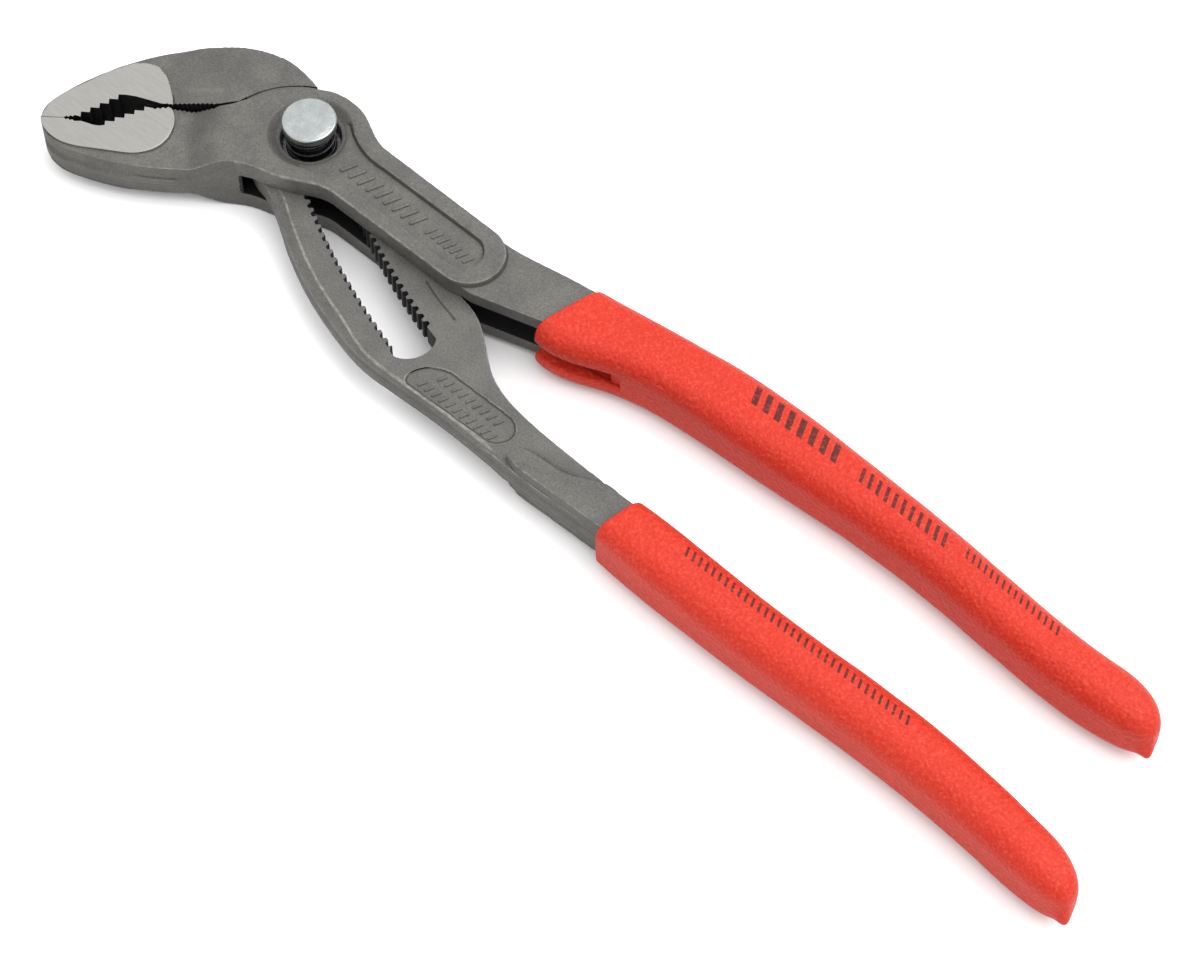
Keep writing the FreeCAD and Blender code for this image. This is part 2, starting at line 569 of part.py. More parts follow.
# ------------------------------------------------------------------- check and write
doc.recompute()
nodes = [outer, inner_lever, bolt, button, seat, spring, outer_grip, inner_grip]
for item in doc.Objects:
    if "Invalid" in item.State or "Error" in item.State:
        raise RuntimeError("%s failed: %s" % (item.Name, item.State))
for node in nodes:
    shape = node.Shape
    if shape.isNull() or not shape.isValid():
        raise RuntimeError(node.Label + " is not a valid shape")
    print("%-14s %d solid, %8.1f mm3, faces %d" % (node.Label, len(shape.Solids),
                                                 shape.Volume, len(shape.Faces)))
    shape.exportStep("parts/%s.step" % node.Label)
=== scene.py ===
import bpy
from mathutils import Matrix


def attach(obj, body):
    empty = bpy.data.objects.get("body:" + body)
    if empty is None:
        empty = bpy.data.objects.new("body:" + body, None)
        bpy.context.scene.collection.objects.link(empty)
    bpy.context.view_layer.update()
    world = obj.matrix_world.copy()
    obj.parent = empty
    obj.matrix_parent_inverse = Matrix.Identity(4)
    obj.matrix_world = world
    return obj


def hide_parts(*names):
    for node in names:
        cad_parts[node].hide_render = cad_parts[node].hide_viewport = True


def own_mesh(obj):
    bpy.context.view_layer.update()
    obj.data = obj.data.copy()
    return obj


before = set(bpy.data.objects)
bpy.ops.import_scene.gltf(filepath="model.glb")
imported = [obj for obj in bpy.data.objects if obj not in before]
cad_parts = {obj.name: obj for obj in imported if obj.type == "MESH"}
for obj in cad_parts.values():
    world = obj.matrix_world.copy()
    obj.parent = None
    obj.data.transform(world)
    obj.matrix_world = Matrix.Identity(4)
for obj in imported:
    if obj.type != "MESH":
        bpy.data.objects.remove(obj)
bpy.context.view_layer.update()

import math

import bmesh
import bpy
import numpy as np
from mathutils import Matrix, Vector, noise

MM = 0.001

# ------------------------------------------------------------------ outer lever
# The fixed half is one chrome-vanadium forging: lower jaw, both cheeks of the
# box joint, two tines and the upper handle's tang. It is hammer forged, tumbled
# until its edges are soft, grey phosphated, and ground bright on the jaw faces.
FORGING_DEPTH = 10               # fineness of a forging's even mesh
EDGE_PASSES = 10                 # smoothing passes that give a forged edge
MOST_FACES = 190_000             # triangles that a forging keeps
HARD_EDGE = math.radians(38)     # edges that turn further than this aren't shaded smooth
MID = 7.0                        # mid-plane of both levers, above the floor
BOX, JAW = 7.0, 3.95             # half the thickness of the joint's box and of the jaws
PLATEAU = 4.4                    # half the thickness at the ground jaw faces
GAP = 2.75                       # half the sawn gap that the web runs in
FLASH = 0.42                     # how far the trimmed parting band stands out
UNDER_COAT = 0.3                 # how far a tang is drawn in under the plastic


class Wire:
    """An output socket of a material's nodes; arithmetic on wires adds Math nodes."""

    def __init__(self, tree, socket=None):
        self.tree = tree
        self.socket = socket

    def node(self, kind, settings=None, out=0, **sockets):
        made = self.tree.nodes.new("ShaderNode" + kind)
        for name, value in (settings or {}).items():
            setattr(made, name, value)
        for name, value in sockets.items():
            key = int(name[1:]) if name[1:].isdigit() else name.replace("_", " ")
            if isinstance(value, Wire):
                self.tree.links.new(value.socket, made.inputs[key])
            else:
                made.inputs[key].default_value = value
        return Wire(self.tree, made.outputs[out])

    def math(self, operation, first, second=0.0):
        return self.node("Math", {"operation": operation}, _0=first, _1=second)

    def __add__(self, other):
        return self.math("ADD", self, other)

    def __sub__(self, other):
        return self.math("SUBTRACT", self, other)

    def __mul__(self, other):
        return self.math("MULTIPLY", self, other)

    def __rsub__(self, other):
        return self.math("SUBTRACT", other, self)

    __radd__, __rmul__ = __add__, __mul__

    def above(self, low, high):
        """0 below the low value, 1 above the high one, and smooth between them."""
        return self.node("MapRange", {"interpolation_type": "SMOOTHSTEP"}, Value=self,
                         From_Min=low, From_Max=high)

    def mix(self, share, first, second):
        """A colour that goes from the first to the second as the share rises."""
        return self.node("Mix", {"data_type": "RGBA"}, 2, _0=share, _6=first, _7=second)


def rgb(red, green, blue):
    """A display colour, 0 to 255, as the linear colour that a shader takes."""
    shades = [c / 255 for c in (red, green, blue)]
    return (*(c / 12.92 if c < 0.04045 else ((c + 0.055) / 1.055) ** 2.4
              for c in shades), 1.0)


def new_material(name, **constants):
    """A material, its Principled node and a Wire to build the rest with."""
    made = bpy.data.materials.new(name)
    made.use_nodes = True
    shader = made.node_tree.nodes["Principled BSDF"]
    for socket, value in constants.items():
        shader.inputs[socket.replace("_", " ")].default_value = value
    return made, shader, Wire(made.node_tree)


def feed(shader, **wires):
    """Links wires to the shader's sockets."""
    for socket, wire in wires.items():
        wire.tree.links.new(wire.socket, shader.inputs[socket.replace("_", " ")])


def millimetres(start):
    """Coordinates in millimetres that stay with the piece."""
    place = start.node("TexCoord", out=3)
    return start.node("VectorMath", {"operation": "SCALE"}, Vector=place, Scale=1000.0)


def grains(place, scale, detail=2.0, roughness=0.5):
    """Fractal noise, 0 to 1, whose grain is about 1/scale millimetres."""
    return place.node("TexNoise", Vector=place, Scale=scale, Detail=detail,
                      Roughness=roughness)


def forged_steel(name, shade):
    """Grey phosphated forging: fine blasted grain, blotches, rubbed bright edges and painted
    shade in creases.
    shade is the share of near-black painted shade, used for gaps and between teeth."""
    made, shader, start = new_material(name, Metallic=0.15, Specular_IOR_Level=0.2)
    place = millimetres(start)
    fine = grains(place, 2.6, 3.0, 0.7)
    blotch = grains(place, 0.14, 4.0, 0.6)
    patch = grains(place, 0.7, 3.0, 0.6)
    edge = start.node("Attribute", {"attribute_name": "edge"}, 2)
    rubbed = edge.above(0.03, 0.2) * (0.25 + 0.75 * patch.above(0.35, 0.65))
    rubbed = rubbed * (0.5 + 0.5 * fine.above(0.4, 0.55))
    # Painted shade in creases and hollows, where the smoothing drew points inwards.
    crease_shade = (0.0 - edge).above(0.015, 0.11)
    base = start.mix(blotch.above(0.3, 0.7), rgb(80, 79, 76), rgb(91, 90, 86))
    base = start.mix(fine.above(0.42, 0.7) * 0.6, base, rgb(62, 61, 59))
    base = start.mix((1.0 - fine).above(0.58, 0.72) * 0.45, base, rgb(112, 111, 107))
    base = start.mix(crease_shade * 0.75, base, rgb(40, 39, 37))
    base = start.mix(rubbed * 0.6, base, rgb(146, 145, 139))
    # Near-black painted shade, as strong as the shade share.
    base = start.mix(shade, base, rgb(7, 7, 7))
    bump = start.node("Bump", Strength=0.45, Distance=0.0001, Height=fine + patch * 0.7)
    feed(shader, Base_Color=base, Roughness=0.62 - 0.18 * rubbed - 0.1 * blotch, Normal=bump)
    return made


def ground_steel():
    """Jaw faces ground bright: fine straight grinding lines along the lever."""
    made, shader, start = new_material("ground_steel", Metallic=0.55, Specular_IOR_Level=0.5)
    place = millimetres(start)
    turned = start.node("Mapping", Vector=place, Rotation=(0, 0, math.radians(40)),
                        Scale=(0.3, 6.0, 1.0))
    lines = grains(turned, 1.0, 4.0, 0.7)
    cloud = grains(place, 0.3, 2.0)
    specks = grains(place, 1.7, 3.0, 0.7)
    shade = start.mix(lines.above(0.35, 0.65), rgb(127, 126, 122), rgb(137, 136, 132))
    shade = start.mix(cloud.above(0.45, 0.75) * 0.4, shade, rgb(134, 133, 130))
    shade = start.mix(specks.above(0.66, 0.8) * 0.4, shade, rgb(112, 111, 108))
    bump = start.node("Bump", Strength=0.25, Distance=0.00004, Height=lines)
    feed(shader, Base_Color=shade, Roughness=0.42 + 0.14 * lines, Normal=bump)
    return made


FORGED = forged_steel("forged_steel", 0.0)
# Steel with near-black painted shade, for faces in gaps and between teeth.
SHADE_PAINTED = forged_steel("shade_painted_steel", 0.96)
GROUND = ground_steel()


def get_points(mesh, layer="co"):
    """A mesh's points in millimetres, or its point normals, as an array."""
    flat = np.empty(len(mesh.vertices) * 3, np.float32)
    if layer == "co":
        mesh.vertices.foreach_get("co", flat)
        return flat.reshape(-1, 3).astype(float) / MM
    mesh.vertex_normals.foreach_get("vector", flat)
    return flat.reshape(-1, 3).astype(float)


def set_points(mesh, points):
    """Moves a mesh's points to places in millimetres."""
    mesh.vertices.foreach_set("co", (points * MM).astype(np.float32).ravel())
    mesh.update()


def new_piece(name, mesh, body, slot, *stands_for):
    """An object that rides on a body and hides the CAD parts that it stands for. Its slot is not
    used.
    """
    piece = bpy.data.objects.new(name, mesh)
    bpy.context.scene.collection.objects.link(piece)
    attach(piece, body)
    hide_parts(*stands_for)
    return piece


def apply_modifiers(piece):
    """Makes what the modifiers show the piece's own mesh."""
    graph = bpy.context.evaluated_depsgraph_get()
    mesh = bpy.data.meshes.new_from_object(piece.evaluated_get(graph))
    piece.modifiers.clear()
    piece.data = mesh


def even_mesh(piece, depth):
    """Gives a copied CAD solid small even faces that keep its sharp edges."""
    work = bmesh.new()
    work.from_mesh(piece.data)
    bmesh.ops.remove_doubles(work, verts=work.verts, dist=1e-6)
    work.to_mesh(piece.data)
    work.free()
    even = piece.modifiers.new("even", "REMESH")
    even.mode = "SHARP"
    even.octree_depth = depth
    even.scale = 0.99
    even.use_remove_disconnected = False
    apply_modifiers(piece)
    piece.data.materials.clear()


def relax(mesh, points, passes, share):
    """Draws each point towards its neighbours' mean, by its share, on every pass."""
    pairs = np.empty(len(mesh.edges) * 2, np.int32)
    mesh.edges.foreach_get("vertices", pairs)
    pairs = pairs.reshape(-1, 2)
    ends = np.concatenate([pairs[:, 0], pairs[:, 1]])
    others = np.concatenate([pairs[:, 1], pairs[:, 0]])
    count = np.bincount(ends, minlength=len(points)).clip(1)[:, None]
    step = 0.5 * share[:, None]
    points = points.copy()
    for _ in range(passes):
        near = np.stack([np.bincount(ends, points[others, k], len(points)) for k in range(3)], 1)
        points += step * (near / count - points)
    return points


def ramp(values, low, high):
    """0 below the low value, 1 above the high one, and smooth between them."""
    part = np.clip((values - low) / (high - low), 0, 1)
    return part * part * (3 - 2 * part)


def fade(values, low, high):
    """1 below the low value, 0 above the high one, and smooth between them."""
    return 1 - ramp(values, low, high)


def from_line(points, path):
    """Plan distance of each point from a path."""
    best = np.full(len(points), 1e9)
    for start, end in zip(path, path[1:]):
        run = np.subtract(end, start)
        along = np.clip((points[:, :2] - start) @ run / (run @ run), 0, 1)
        best = np.minimum(best, np.hypot(*(points[:, :2] - start - along[:, None] * run).T))
    return best


def ground_area(points, normals, outline):
    """1 on the ground plateau inside an outline, on both faces of a jaw."""
    x, y = points[:, 0], points[:, 1]
    inside = np.zeros(len(points), bool)
    for (x1, y1), (x2, y2) in zip(outline, outline[1:] + outline[:1]):
        if y1 != y2:
            inside ^= ((y1 > y) != (y2 > y)) & (x < x1 + (y - y1) * (x2 - x1) / (y2 - y1))
    level = (np.abs(points[:, 2] - MID) > PLATEAU - 0.12) & (np.abs(normals[:, 2]) > 0.6)
    return inside & level


def crease(points, normals, path, width, depth):
    """Presses a shallow groove along a path into both faces."""
    dip = depth * np.exp(-(from_line(points, path) / width) ** 2)
    dip *= np.abs(normals[:, 2]) > 0.7
    return points - np.sign(points[:, 2:] - MID) * dip[:, None] * [0, 0, 1]


def soft_blend(points, radii):
    """Turns the CAD's straight-sided fall from the joint to the jaw into an easy one.
    The radii are where that fall starts, bends twice and ends."""
    radius = np.hypot(points[:, 0], points[:, 1])
    old = np.interp(radius, radii, [BOX, BOX - 0.8, JAW + 0.35, JAW])
    new = JAW + (BOX - JAW) * fade(radius, radii[0] - 1.2, radii[3] + 0.8)
    new -= 0.16 * np.exp(-((radius - radii[3] + 0.6) / 1.3) ** 2)
    below = np.abs(points[:, 2] - MID) < old + 0.03
    moved = points.copy()
    moved[:, 2] = np.where(below & (points[:, 0] < -5),
                           MID + (points[:, 2] - MID) * new / old, points[:, 2])
    return moved


def under_coat(points, normals, start):
    """Draws a tang in a little where the plastic covers it, from a place along x."""
    return points - UNDER_COAT * normals * ramp(points[:, :1], start, start + 6.0)


def parting_band(points, normals, where):
    """Moves side walls out along the trimmed flash, where the two dies met."""
    height = np.abs(points[:, 2] - MID)
    wall = fade(np.abs(normals[:, 2]), 0.25, 0.5)
    out = FLASH * fade(height, 0.55, 1.0) - 0.05 * height
    return points + normals * [1, 1, 0] * (out * wall * where)[:, None]


def forge(piece, outline, crisp, shape, painted_shade, wear):
    """Turns a copied CAD lever into a forging with a ground face inside the outline.
    The other values are functions of its points and normals: where edges stay sharp,
    its new points, where shade is painted, and what is rubbed bright besides its edges."""
    even_mesh(piece, FORGING_DEPTH)
    mesh = piece.data
    points, normals = get_points(mesh), get_points(mesh, "normal")
    ground = ground_area(points, normals, outline)
    flat = points[:, 2].copy()
    flat[ground] = MID + np.sign(flat[ground] - MID) * PLATEAU
    points = shape(points, normals)
    points[ground, 2] = flat[ground]
    smooth = relax(mesh, points, EDGE_PASSES, 1 - crisp(points, normals))
    set_points(mesh, smooth)
    # Points drawn outwards are rounded edges, rubbed bright; points drawn inwards are hollows,
    # where creases get painted shade.
    rubbed = ((points - smooth) * get_points(mesh, "normal")).sum(1)
    edge = mesh.attributes.new("edge", "FLOAT", "POINT")
    edge.data.foreach_set("value", (rubbed + wear(points, normals)).astype(np.float32))
    faces = sum(len(face.vertices) - 2 for face in mesh.polygons)
    if faces > MOST_FACES:
        fewer = piece.modifiers.new("fewer", "DECIMATE")
        fewer.ratio = MOST_FACES / faces
        apply_modifiers(piece)
    piece.data.shade_smooth()
    piece.data.set_sharp_from_angle(angle=HARD_EDGE)
    for material in (FORGED, GROUND, SHADE_PAINTED):
        piece.data.materials.append(material)
    centres, facing = [np.array([getattr(face, key) for face in piece.data.polygons])
                       for key in ("center", "normal")]
    # Faces inside the outline get the ground material; faces in gaps and between teeth get
    # near-black painted shade.
    kinds = np.where(ground_area(centres / MM, facing, outline), 1,
                     2 * painted_shade(centres / MM, facing))
    piece.data.polygons.foreach_set("material_index", kinds.astype(np.int32))


# In plan: the line that the jaws' teeth meet on, and the lower jaw's ground face.
BITE = [(-44.4, -27.2), (-38.4, -23.4), (-33.4, -19.0), (-28.5, -12.0), (-18.0, -5.6)]
LOWER_FACE = [(-25.6, -10.5), (-23.4, -12.3), (-21.9, -15.5), (-22.1, -19.4), (-24.2, -22.6),
              (-29.1, -25.5), (-33.9, -28.1), (-38.5, -29.5), (-41.7, -29.2), (-44.2, -28.0),
              (-50.0, -26.0), (-50.0, 0.0), (-25.6, 0.0)]


def outer_crisp(points, normals):
    """The bite, the ground face and the sawn gap keep their edges."""
    x = points[:, 0]
    bite = fade(from_line(points, BITE), 4.0, 6.0)
    jaw = 0.93 * fade(x, -25.0, -20.5)
    near_gap = fade(np.abs(points[:, 2] - MID), GAP + 0.15, GAP + 0.65)
    gap = 0.9 * near_gap * ramp(x, -17.0, -15.5) * fade(x, 78, 80)
    return np.max([bite, jaw, gap], axis=0)


def outer_shape(points, normals):
    """The blend from the cheeks to the jaw, and the parting band along the jaw."""
    jaw = fade(points[:, 0], -14.0, -10.0) * ramp(from_line(points, BITE), 1.5, 4.0)
    points = soft_blend(points, (18.0, 19.3, 21.6, 24.0))
    points = under_coat(points, normals, 80.0)
    return parting_band(points, normals, jaw * (points[:, 1] < -8))


def tooth_walls(points, normals):
    """True on the walls of the bite, but not on the jaws' outer walls at the tip."""
    reach = np.clip(0.4 + 0.6 * (points[:, 0] - BITE[0][0]), 0, 5.6)
    return (from_line(points, BITE) < reach) & (np.abs(normals[:, 2]) < 0.6)


def outer_painted_shade(points, normals):
    """Painted shade in the sawn gap, the crotch between the tines and between the jaws' teeth.
    """
    height = np.abs(points[:, 2] - MID)
    inside = height < GAP + 0.05
    sides = (height < GAP + 0.15) & (height > GAP - 0.25) & (np.abs(normals[:, 2]) > 0.8)
    wall = inside & (np.hypot(points[:, 0], points[:, 1]) < 15.3)
    crotch = inside & (np.abs(points[:, 0] - 74) < 6) & (normals[:, 0] < -0.3)
    return sides | wall | crotch | tooth_walls(points, normals)


def outer_wear(points, normals):
    """The lower edge of the near cheek is rubbed along the tongue."""
    edge = [(-6.6, -13.9), (1.0, -11.8), (9.0, -8.6), (13.0, -8.2), (40.0, -10.1)]
    return 0.08 * np.exp(-(from_line(points, edge) / 0.5) ** 2) * (points[:, 2] > MID + 4)


outer_lever = new_piece("outer_forging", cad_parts["outer_lever"].data.copy(),
                        "outer_half", "forged_steel", "outer_lever")
forge(outer_lever, LOWER_FACE, outer_crisp, outer_shape, outer_painted_shade, outer_wear)


MARK_LEAN = math.radians(68)     # a bar's turn from the direction of its row
MARK_HEIGHT, MARK_ROUND = 0.7, 0.18


def close_mesh(work, name, material, smooth=True):
    """A bmesh's own mesh, in one material."""
    mesh = bpy.data.meshes.new(name)
    work.to_mesh(mesh)
    work.free()
    if smooth:
        mesh.shade_smooth()
    mesh.materials.append(material)
    return mesh


def raised_marks(name, body, rows):
    """Plain slanted bars that stand on a sunk floor, in rows on both faces.
    A row is its first and last centre, count, bar width, bar length and top."""
    work = bmesh.new()
    for start, end, count, width, length, top in rows:
        run = np.subtract(end, start)
        tilt = math.atan2(run[1], run[0]) + MARK_LEAN
        for number in range(count):
            x, y = np.add(start, run * number / (count - 1))
            for height in (top, 2 * MID - top):
                bar = bmesh.ops.create_cube(work, size=1.0)["verts"]
                place = (Matrix.Translation((x * MM, y * MM, height * MM))
                         @ Matrix.Rotation(tilt, 4, "Z")
                         @ Matrix.Diagonal((length * MM, width * MM, MARK_HEIGHT * MM, 1)))
                bmesh.ops.transform(work, matrix=place, verts=bar)
    bmesh.ops.bevel(work, geom=work.edges[:], offset=MARK_ROUND * MM, segments=3,
                    affect="EDGES", profile=0.5)
    new_piece(name, close_mesh(work, name, FORGED), body, "forged_steel")


raised_marks("cheek_marks", "outer_half",
             [((10.6, -1.4), (28.6, -2.9), 9, 0.75, 3.6, 13.0),
              ((32.0, -3.3), (41.6, -4.2), 7, 0.6, 2.5, 12.95)])


# ------------------------------------------------------------------ inner lever
# The moving half is a second forging: upper jaw, the flat web with the toothed
# slot that the bolt's rack engages, shank and the lower handle's tang. The web
# is milled to pass the gap, which leaves a long sloped edge along its belly.
SLOT_CENTRE, SLOT_RADIUS = (93.387, 126.206), 157.0   # the arc that the slot follows
SLOT_ENDS, SLOT_HALF = (-3.0, 44.0), 5.2              # along x, and to its teeth's roots
# In plan: the web's lower edge, the step to the shank, a scratch, and the upper jaw's
# ground face.
BELLY = [(98, -34.3), (84, -34.0), (72, -33.3), (60, -32.1), (46, -31.6), (38, -31.2),
         (34, -30.4), (30, -29.1), (25, -27.3), (19.8, -25.1), (14.6, -22.4), (9.7, -19.3),
         (6, -16.9), (2.8, -14.5), (-2, -12.2)]
SHANK_STEP = [(72.6, -31.8), (72.4, -29.9), (74.4, -28.7), (76.9, -28.4), (80.3, -28.5),
              (83.7, -28.0), (85.9, -27.4), (88.4, -26.3), (91.2, -25.8)]
SCRATCH = [(36.9, -10.9), (41.0, -12.6), (46.2, -14.2)]
UPPER_FACE = [(-45.3, -23.6), (-44.9, -20.6), (-43.2, -16.0), (-41.4, -11.0), (-38.8, -6.6),
              (-36.6, -5.0), (-34.5, -4.4), (-31.5, -5.4), (-28.4, -7.6), (-26.2, -9.4),
              (-26.2, -40.0), (-50.0, -40.0), (-50.0, -23.6)]


def from_slot(points):
    """Distance of each point from the slot's centre line."""
    across = points[:, :2] - SLOT_CENTRE
    off = np.abs(np.hypot(across[:, 0], across[:, 1]) - SLOT_RADIUS)
    first, last = SLOT_ENDS
    past_end = np.maximum(points[:, 0] - last, 0) + np.maximum(first - points[:, 0], 0)
    return np.hypot(off, past_end)


def inner_crisp(points, normals):
    """The bite, the ground face, the slot's broached teeth and the web inside the joint
    keep their edges, and so does the step to the shank."""
    bite = fade(from_line(points, BITE), 4.0, 6.0)
    slot = fade(from_slot(points), SLOT_HALF, SLOT_HALF + 0.8)
    jaw = 0.93 * fade(points[:, 0], -31.0, -26.0)
    inside = 0.8 * (np.hypot(points[:, 0], points[:, 1]) < 19)
    step = 0.7 * fade(from_line(points, SHANK_STEP), 1.5, 2.5)
    return np.max([bite, slot, jaw, inside, step], axis=0)


def belly_width(points):
    """The milled slope along the belly narrows towards the shank."""
    return 0.9 + 1.3 * fade(points[:, 0], 28.0, 42.0)


def inner_shape(points, normals):
    """The blend to the jaw, the milled slope and its ridge, two pressed lines, and the
    parting band round the jaw and along the belly."""
    points = soft_blend(points, (17.6, 21.0, 28.5, 34.0))
    height = points[:, 2] - MID
    edge = from_line(points, BELLY)
    width = belly_width(points)
    along = ramp(points[:, 0], -1.0, 3.0) * fade(points[:, 0], 66.0, 72.0)
    slope = np.clip(1 - edge / width, 0, 1) * along * ramp(np.abs(height), 1.5, 2.4)
    ridge = 0.12 * np.exp(-((edge - width) / 0.3) ** 2) * along
    points[:, 2] += np.sign(height) * (ridge - 0.75 * slope) * (np.abs(normals[:, 2]) > 0.5)
    points = crease(points, normals, SHANK_STEP, 0.45, 0.5)
    points = crease(points, normals, SCRATCH, 0.3, 0.3)
    points = under_coat(points, normals, 101.0)
    crown = fade(points[:, 0], -22.0, -14.0) * ramp(from_line(points, BITE), 5.0, 6.5)
    belly = 0.6 * fade(edge, 0.6, 1.0) * ramp(points[:, 0], 4.0, 10.0)
    return parting_band(points, normals, crown + belly)


def inner_painted_shade(points, normals):
    """Painted shade on the slot's teeth and between the jaws' teeth."""
    slot = (from_slot(points) < SLOT_HALF) & (np.abs(normals[:, 2]) < 0.6)
    return slot | tooth_walls(points, normals)


def inner_wear(points, normals):
    """The ridge inside the milled slope, the belly's edge and a patch over the bite."""
    edge, x = from_line(points, BELLY), points[:, 0]
    near = ramp(x, -1.0, 1.0) * fade(x, 90.0, 96.0) * (np.abs(normals[:, 2]) > 0.3)
    ridge = np.exp(-((edge - belly_width(points)) / 0.22) ** 2) * fade(x, 66.0, 72.0)
    patch = np.exp(-(from_line(points, [(-25.4, -5.6), (-20.1, -2.6)]) / 0.9) ** 2)
    return near * (0.22 * ridge + 0.12 * np.exp(-(edge / 0.4) ** 2)) + 0.1 * patch


inner_lever = new_piece("inner_forging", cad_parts["inner_lever"].data.copy(),
                        "inner_half", "forged_steel", "inner_lever")
forge(inner_lever, UPPER_FACE, inner_crisp, inner_shape, inner_painted_shade, inner_wear)
raised_marks("web_marks", "inner_half",
             [((52.6, -25.6), (66.6, -26.7), 9, 0.5, 2.0, 9.15),
              ((50.4, -28.6), (67.6, -29.8), 11, 0.5, 2.0, 9.15)])


# ------------------------------------------------------------------ joint bolt and seat
# The bolt is turned and milled from bar, hardened and oiled black; its band of
# rack teeth locks in the slot. The seat is a stamped washer under the spring.
def from_axis(place):
    """Distance from the bolt's axis."""
    flat = place.node("VectorMath", {"operation": "MULTIPLY"}, _0=place, _1=(1, 1, 0))
    return place.node("VectorMath", {"operation": "LENGTH"}, 1, Vector=flat)


def machined_steel(name, dark, light, roughness):
    """Turned steel: fine circular tool marks about the bolt's axis."""
    made, shader, start = new_material(name, Metallic=0.9)
    place = millimetres(start)
    ring = start.node("TexNoise", {"noise_dimensions": "1D"}, W=from_axis(place), Scale=9.0,
                      Detail=3.0)
    film = grains(place, 1.1, 3.0, 0.6)
    base = start.mix(film.above(0.35, 0.7), dark, light)
    bump = start.node("Bump", Strength=0.4, Distance=0.00004, Height=ring)
    feed(shader, Base_Color=base, Roughness=roughness + 0.15 * film, Normal=bump)
    return made


OILED = machined_steel("oiled_steel", rgb(58, 58, 60), rgb(92, 92, 94), 0.22)


def machined(name, node, body, slot):
    """A turned or stamped part: its CAD shape with slightly broken edges."""
    piece = new_piece(name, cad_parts[node].data.copy(), body, slot, node)
    even_mesh(piece, 7)
    mesh = piece.data
    points = get_points(mesh)
    set_points(mesh, relax(mesh, points, 3, np.full(len(points), 0.8)))
    mesh.shade_smooth()
    mesh.materials.append(OILED)


machined("joint_bolt_turning", "joint_bolt", "push_bolt", "chromed_steel")
machined("spring_seat_washer", "spring_seat", "pivot", "spring_steel")


# ------------------------------------------------------------------ push button
# A turned cap with a sleeve, pressed on the bolt's spigot and bright nickel-chrome
# plated. Its top is slightly domed and carries faint polishing marks.
def chrome_plate():
    """Plating over polishing marks: rings, and short scratches of many directions."""
    made, shader, start = new_material("chrome_plate", Metallic=1.0)
    place = millimetres(start)
    swirl = start.node("TexNoise", Vector=place, Scale=0.8, Detail=2.0, Distortion=2.6)
    ring = start.node("TexNoise", {"noise_dimensions": "1D"}, W=from_axis(place), Scale=4.0,
                      Detail=4.0)
    haze = grains(place, 0.6, 3.0)
    base = start.mix(haze.above(0.3, 0.7), rgb(144, 149, 148), rgb(156, 160, 159))
    base = start.mix(swirl.above(0.52, 0.56) * 0.2, base, rgb(122, 127, 128))
    bump = start.node("Bump", Strength=0.35, Distance=0.00006, Height=swirl + 0.3 * ring)
    feed(shader, Base_Color=base, Roughness=0.16 + 0.16 * haze, Normal=bump)
    return made


CHROME = chrome_plate()


def turned(name, profile, material, body, slot, node, steps=128):
    """A closed profile of (radius, height) points turned about the bolt's axis."""
    work = bmesh.new()
    rings = []
    for radius, height in profile:
        if radius == 0:
            rings.append([work.verts.new((0, 0, height * MM))])
            continue
        rings.append([work.verts.new((radius * MM * math.cos(2 * math.pi * k / steps),
                                      radius * MM * math.sin(2 * math.pi * k / steps),
                                      height * MM)) for k in range(steps)])
    for lower, upper in zip(rings, rings[1:]):
        for k in range(steps):
            corners = [lower[k % len(lower)], lower[(k + 1) % len(lower)],
                       upper[(k + 1) % len(upper)], upper[k % len(upper)]]
            work.faces.new(list(dict.fromkeys(corners)))
    bmesh.ops.recalc_face_normals(work, faces=work.faces)
    new_piece(name, close_mesh(work, name, material), body, slot, node)


def fillet(centre, radius, first, last, steps=6):
    """Points of a round edge in a turned profile."""
    turns = [math.radians(first + (last - first) * k / steps) for k in range(steps + 1)]
    return [(centre[0] + radius * math.cos(a), centre[1] + radius * math.sin(a)) for a in turns]


# The profile runs from the bore's end down the sleeve, under the rim, round it and
# over the domed top.
turned("push_button_cap",
       [(0, 17.2), (2.4, 17.2), (2.4, 16.1), (3.5, 16.1), (3.5, 12.9)]
       + fillet((3.7, 12.95), 0.15, 225, 360, 4)
       + [(3.86, 14.0), (3.86, 16.0), (4.0, 16.12), (4.75, 16.14)]
       + fillet((4.95, 16.42), 0.25, -90, 0) + [(5.2, 16.9)]
       + fillet((4.85, 17.55), 0.35, 0, 90)
       + [(4.4, 17.93), (4.3, 17.95), (3.4, 17.97), (2.2, 17.99), (1.0, 18.0), (0, 18.0)],
       CHROME, "push_bolt", "chromed_steel", "push_button")


# ------------------------------------------------------------------ button spring
# A compression spring of hard-drawn wire with closed ends, between the seat and the
# cap.
SPRING_LOW, SPRING_HIGH = 10.27, 16.1     # top of the seat, and underside of the cap's rim
WIRE_RADIUS, COIL_RADIUS = 0.27, 4.58
CLOSED_TURNS, OPEN_TURNS = 1.0, 2.2       # turns at each end, and between them


def coil_points(steps=72):
    """The wire's centre line: a flat turn, the open turns, and a flat turn."""
    turns = 2 * CLOSED_TURNS + OPEN_TURNS
    low, high = SPRING_LOW + WIRE_RADIUS + 0.02, SPRING_HIGH - WIRE_RADIUS - 0.04
    for k in range(int(turns * steps) + 1):
        turn = k / steps
        rise = float(ramp(np.array(turn), CLOSED_TURNS * 0.55, turns - CLOSED_TURNS * 0.55))
        even = min(max((turn - CLOSED_TURNS) / OPEN_TURNS, 0), 1)
        share = 0.35 * rise + 0.65 * even
        angle = 2 * math.pi * turn
        yield (COIL_RADIUS * math.cos(angle) * MM, COIL_RADIUS * math.sin(angle) * MM,
               (low + (high - low) * share) * MM)


